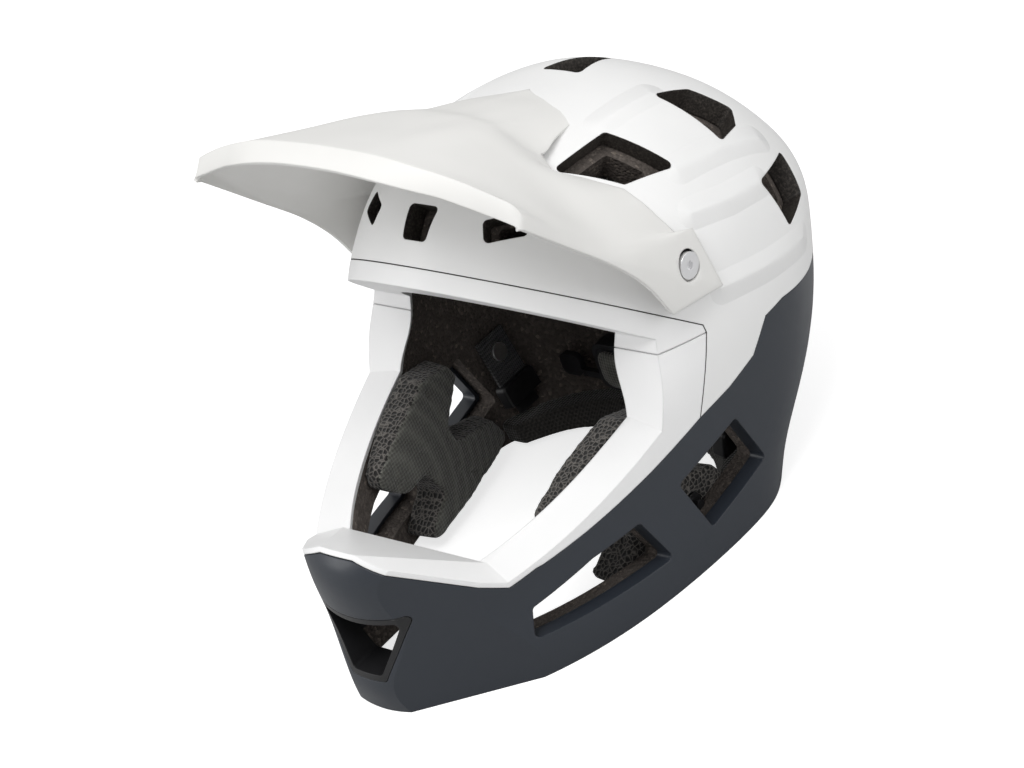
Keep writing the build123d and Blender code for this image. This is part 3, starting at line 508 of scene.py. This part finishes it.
visor_piece = new_piece("visor_shell", visor_sheet(), pale_visor)
wall = visor_piece.modifiers.new("wall", "SOLIDIFY")
wall.thickness = visor_wall * MM
wall.offset = -1
wall.use_even_offset = True
pocket_form = bmesh.new()
tube(pocket_form, bolt_floor, bolt_floor + pocket_reach, bolt_pocket, needle)
pocket = new_piece("pocket", pocket_form, pale_visor)
cut = visor_piece.modifiers.new("pocket", "BOOLEAN")
cut.operation = "DIFFERENCE"
cut.solver = "EXACT"
cut.object = pocket
built(visor_piece, "visor_shell")
bpy.data.objects.remove(pocket)
edges = visor_piece.modifiers.new("edges", "BEVEL")
edges.width = edge_round
edges.segments = 2
edges.angle_limit = bevel_angle
built(visor_piece, "visor_shell")
form = bmesh.new()
form.from_mesh(visor_piece.data)
tube(form, boss_start, bolt_floor, boss_radius, boss_bore)
form.to_mesh(visor_piece.data)
form.free()
for polygon in visor_piece.data.polygons:
    polygon.use_smooth = True
visor_piece.data.set_sharp_from_angle(angle=crease_angle)
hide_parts("visor")
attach(visor_piece, "visor")


# Pieces with cuts that the plain solids leave out
weld_gap = 0.000005
cut_crease_angle = math.radians(28)
chin_box = ((-30, -1), (30, -1), (33, 31), (-33, 31))
chin_box_back = -104
foam_front = -148
frame_front = -147


def prism(name, corners, low, high):
    """A cutter along y, from its corners in x and z, in millimetres."""
    form = bmesh.new()
    ends = [[form.verts.new((x * MM, y * MM, z * MM)) for x, z in corners] for y in (low, high)]
    form.faces.new(ends[0])
    form.faces.new(ends[1][::-1])
    for first, second in zip(range(len(corners)), list(range(1, len(corners))) + [0]):
        form.faces.new((ends[0][second], ends[0][first], ends[1][first], ends[1][second]))
    bmesh.ops.recalc_face_normals(form, faces=form.faces)
    return new_piece(name, form, white_trim)


def trimmed(node, name, front):
    """A copy of a rigid node, in its place, with the chin's air way cut out from a front on back."""
    form = bmesh.new()
    form.from_mesh(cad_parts[node].data)
    bmesh.ops.remove_doubles(form, verts=form.verts, dist=weld_gap)
    piece = new_piece(name, form, finishes[node])
    air_way = prism("air_way", chin_box, front, chin_box_back)
    step = piece.modifiers.new("cut", "BOOLEAN")
    step.operation = "DIFFERENCE"
    step.solver = "EXACT"
    step.object = air_way
    built(piece, name)
    bpy.data.objects.remove(air_way)
    piece.data.materials.clear()
    piece.data.materials.append(finishes[node])
    for polygon in piece.data.polygons:
        polygon.use_smooth = True
    piece.data.set_sharp_from_angle(angle=cut_crease_angle)
    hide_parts(node)
    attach(piece, "helmet")


# The chin vent opens through the foam into the mouth area
trimmed("jaw_liner", "jaw_liner_vented", foam_front)
trimmed("chin_vent_insert", "chin_vent_frame", frame_front)


# Soft pieces

def soft_copy(node, name, voxel, smoothing, body, face_axis, cloth=pad_knit, sides=pad_mesh):
    """A fabric pad in the place of a CAD pad: remeshed, rounded, with mesh sides and a knit face."""
    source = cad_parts[node]
    piece = bpy.data.objects.new(name, source.data.copy())
    bpy.context.scene.collection.objects.link(piece)
    remesh = piece.modifiers.new("remesh", "REMESH")
    remesh.mode = "VOXEL"
    remesh.voxel_size = voxel
    rounding = piece.modifiers.new("rounding", "SMOOTH")
    rounding.factor = 0.5
    rounding.iterations = smoothing
    bpy.context.view_layer.update()
    shaped = bpy.data.meshes.new_from_object(piece.evaluated_get(bpy.context.evaluated_depsgraph_get()))
    piece.modifiers.clear()
    piece.data = shaped
    shaped.name = name
    shaped.materials.clear()
    shaped.materials.append(cloth)
    shaped.materials.append(sides)
    for polygon in shaped.polygons:
        polygon.use_smooth = True
        facing = sum(polygon.normal[i] * face_axis[i] for i in range(3))
        polygon.material_index = 0 if facing > 0.45 else 1
    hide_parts(node)
    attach(piece, body)
    return piece


soft_copy("cheek_pad_left", "cheek_pad_left_cover", 0.0014, 8, "helmet", (-1, 0, 0))
soft_copy("cheek_pad_right", "cheek_pad_right_cover", 0.0014, 8, "helmet", (1, 0, 0))
soft_copy("crown_pad_left", "crown_pad_left_cover", 0.0016, 8, "helmet", (-0.3, 0, -1))
soft_copy("crown_pad_right", "crown_pad_right_cover", 0.0016, 8, "helmet", (0.3, 0, -1))
soft_copy("brow_pad", "brow_pad_cover", 0.0016, 8, "helmet", (0, 1, -0.4))
soft_copy("nape_pad", "nape_pad_cover", 0.0014, 6, "helmet", (0, -1, 0), pad_dark, pad_dark)
soft_copy("fit_pads", "fit_pads_cover", 0.0009, 6, "cradle", (0, -1, 0))
for side in ("left", "right"):
    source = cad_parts["strap_" + side]
    strap = bpy.data.objects.new("strap_" + side + "_web", source.data.copy())
    bpy.context.scene.collection.objects.link(strap)
    strap.data.materials.clear()
    strap.data.materials.append(black_web)
    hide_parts("strap_" + side)
    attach(strap, "helmet")


# Stage, light and camera

def stage_floor():
    """A plain pale floor that looks white to the camera and keeps the shadow."""
    mesh = bpy.data.meshes.new("floor")
    half = 4.0
    corners = [(-half, -half, 0), (half, -half, 0), (half, half, 0), (-half, half, 0)]
    mesh.from_pydata(corners, [], [(0, 1, 2, 3)])
    floor = bpy.data.objects.new("floor", mesh)
    bpy.context.scene.collection.objects.link(floor)
    material, tree, shader = new_material("pale floor", (0.55, 0.55, 0.55), 0.9, 0.1)
    output = tree.nodes["Material Output"]
    glow = tree.nodes.new("ShaderNodeEmission")
    glow.inputs["Color"].default_value = (1, 1, 1, 1)
    glow.inputs["Strength"].default_value = 0.74
    path = tree.nodes.new("ShaderNodeLightPath")
    both = tree.nodes.new("ShaderNodeAddShader")
    mix = tree.nodes.new("ShaderNodeMixShader")
    tree.links.new(shader.outputs["BSDF"], both.inputs[0])
    tree.links.new(glow.outputs["Emission"], both.inputs[1])
    tree.links.new(path.outputs["Is Camera Ray"], mix.inputs["Fac"])
    tree.links.new(shader.outputs["BSDF"], mix.inputs[1])
    tree.links.new(both.outputs["Shader"], mix.inputs[2])
    tree.links.new(mix.outputs["Shader"], output.inputs["Surface"])
    mesh.materials.append(material)


def soft_lamp(name, place, target, size, power):
    """A large soft area lamp aimed at a point."""
    lamp = bpy.data.lights.new(name, "AREA")
    lamp.shape = "DISK"
    lamp.size = size
    lamp.energy = power
    holder = bpy.data.objects.new(name, lamp)
    bpy.context.scene.collection.objects.link(holder)
    holder.location = place
    holder.rotation_euler = (Vector(target) - Vector(place)).to_track_quat("-Z", "Y").to_euler()


stage_floor()
soft_lamp("key lamp", (0.3, -0.6, 1.6), (0, 0, 0.1), 1.0, 14)
soft_lamp("side lamp", (1.5, 0.5, 0.7), (0, 0, 0.1), 0.9, 6)
soft_lamp("left lamp", (-1.1, -1.3, 0.7), (0, 0, 0.1), 0.9, 7)

world = bpy.data.worlds.new("studio")
bpy.context.scene.world = world
world.use_nodes = True
backdrop = world.node_tree.nodes["Background"]
backdrop.inputs["Color"].default_value = (1, 1, 1, 1)
backdrop.inputs["Strength"].default_value = 0.56
camera_view = world.node_tree.nodes.new("ShaderNodeBackground")
camera_view.inputs["Color"].default_value = (1, 1, 1, 1)
camera_view.inputs["Strength"].default_value = 1.0
path = world.node_tree.nodes.new("ShaderNodeLightPath")
mix = world.node_tree.nodes.new("ShaderNodeMixShader")
world.node_tree.links.new(path.outputs["Is Camera Ray"], mix.inputs["Fac"])
world.node_tree.links.new(backdrop.outputs["Background"], mix.inputs[1])
world.node_tree.links.new(camera_view.outputs["Background"], mix.inputs[2])
world.node_tree.links.new(mix.outputs["Shader"], world.node_tree.nodes["World Output"].inputs["Surface"])

lens = bpy.data.cameras.new("photo camera")
lens.sensor_width = 36
lens.lens = 112.5
lens.clip_end = 20
camera = bpy.data.objects.new("photo camera", lens)
bpy.context.scene.collection.objects.link(camera)
right = Vector((0.73495, 0.60854, -0.29920))
up = Vector((-0.14468, 0.57178, 0.80755))
back = Vector((0.66250, -0.55022, 0.50828))
place = Vector((1.01622, -0.86570, 0.86697))
camera.matrix_world = Matrix(
    (
        (right.x, up.x, back.x, place.x),
        (right.y, up.y, back.y, place.y),
        (right.z, up.z, back.z, place.z),
        (0, 0, 0, 1),
    )
)
bpy.context.scene.camera = camera
bpy.context.scene.view_settings.view_transform = "Standard"
